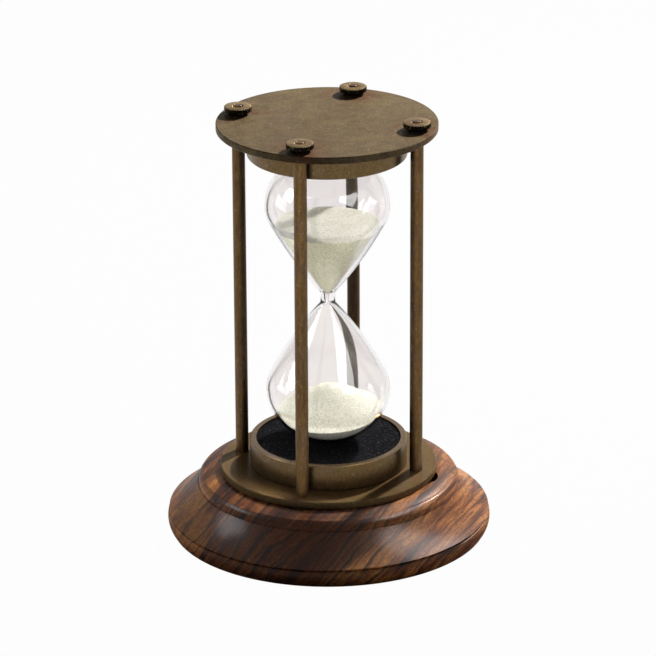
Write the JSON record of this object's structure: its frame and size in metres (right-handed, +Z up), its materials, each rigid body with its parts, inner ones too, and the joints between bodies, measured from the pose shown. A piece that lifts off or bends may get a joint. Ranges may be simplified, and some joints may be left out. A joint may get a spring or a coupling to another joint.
{
  "type": "hourglass",
  "caption": "Desk hourglass: a blown glass with sand, held in padded collars between brass plates on columns with thumb nuts, standing loose on a turned wooden base.",
  "frame": {"origin": "centre of the felt under the wooden base, on the surface the hourglass stands on", "axes": "+Z up along the axis of the base and the glass; the columns stand at 45 degrees to +X and +Y, so -Y is the front, between two columns"},
  "size_m": [0.1612, 0.1612, 0.2161],
  "materials": {
    "wood": "oiled and polished rosewood-like grain, dark diagonal stripes, glossy",
    "felt": "thin black wool felt",
    "plate_brass": "antique bronzed brass, satin, mottled",
    "collar_brass": "antique bronzed brass, satin, turned",
    "column_brass": "dark bronzed brass rod, satin",
    "nut_brass": "bronzed brass, knurled, rims worn bright",
    "pad": "black pressed felt with grey fibres",
    "glass": "clear blown glass, thick at the neck",
    "sand": "fine cream sand, matt"
  },
  "bodies": {
    "base": {"wooden_base": "wood", "base_felt": "felt"},
    "frame": {"bottom_plate": "plate_brass", "bottom_collar": "collar_brass", "bottom_pad": "pad", "glass_bulbs": "glass", "sand_upper": "sand", "sand_lower": "sand", "top_pad": "pad", "top_collar": "collar_brass", "top_plate": "plate_brass", "column_1": "column_brass", "column_2": "column_brass", "column_3": "column_brass", "column_4": "column_brass"},
    "top_nut_1": {"top_nut_1": "nut_brass"},
    "top_nut_2": {"top_nut_2": "nut_brass"},
    "top_nut_3": {"top_nut_3": "nut_brass"},
    "top_nut_4": {"top_nut_4": "nut_brass"},
    "bottom_nut_1": {"bottom_nut_1": "nut_brass"},
    "bottom_nut_2": {"bottom_nut_2": "nut_brass"},
    "bottom_nut_3": {"bottom_nut_3": "nut_brass"},
    "bottom_nut_4": {"bottom_nut_4": "nut_brass"}
  },
  "joints": [
    {"name": "frame_lift", "type": "slide", "parent": "base", "child": "frame", "axis": [0, 0, 1], "range_m": [0, 0.1]},
    {"name": "top_nut_1_turn", "type": "hinge", "parent": "frame", "child": "top_nut_1", "pos_m": [0.03196, -0.03196, 0.2116], "axis": [0, 0, 1], "range_deg": [0, 2050]},
    {"name": "top_nut_2_turn", "type": "hinge", "parent": "frame", "child": "top_nut_2", "pos_m": [0.03196, 0.03196, 0.2116], "axis": [0, 0, 1], "range_deg": [0, 2050]},
    {"name": "top_nut_3_turn", "type": "hinge", "parent": "frame", "child": "top_nut_3", "pos_m": [-0.03196, 0.03196, 0.2116], "axis": [0, 0, 1], "range_deg": [0, 2050]},
    {"name": "top_nut_4_turn", "type": "hinge", "parent": "frame", "child": "top_nut_4", "pos_m": [-0.03196, -0.03196, 0.2116], "axis": [0, 0, 1], "range_deg": [0, 2050]},
    {"name": "bottom_nut_1_turn", "type": "hinge", "parent": "frame", "child": "bottom_nut_1", "pos_m": [0.03196, -0.03196, 0.0302], "axis": [0, 0, -1], "range_deg": [0, 2050]},
    {"name": "bottom_nut_2_turn", "type": "hinge", "parent": "frame", "child": "bottom_nut_2", "pos_m": [0.03196, 0.03196, 0.0302], "axis": [0, 0, -1], "range_deg": [0, 2050]},
    {"name": "bottom_nut_3_turn", "type": "hinge", "parent": "frame", "child": "bottom_nut_3", "pos_m": [-0.03196, 0.03196, 0.0302], "axis": [0, 0, -1], "range_deg": [0, 2050]},
    {"name": "bottom_nut_4_turn", "type": "hinge", "parent": "frame", "child": "bottom_nut_4", "pos_m": [-0.03196, -0.03196, 0.0302], "axis": [0, 0, -1], "range_deg": [0, 2050]}
  ]
}
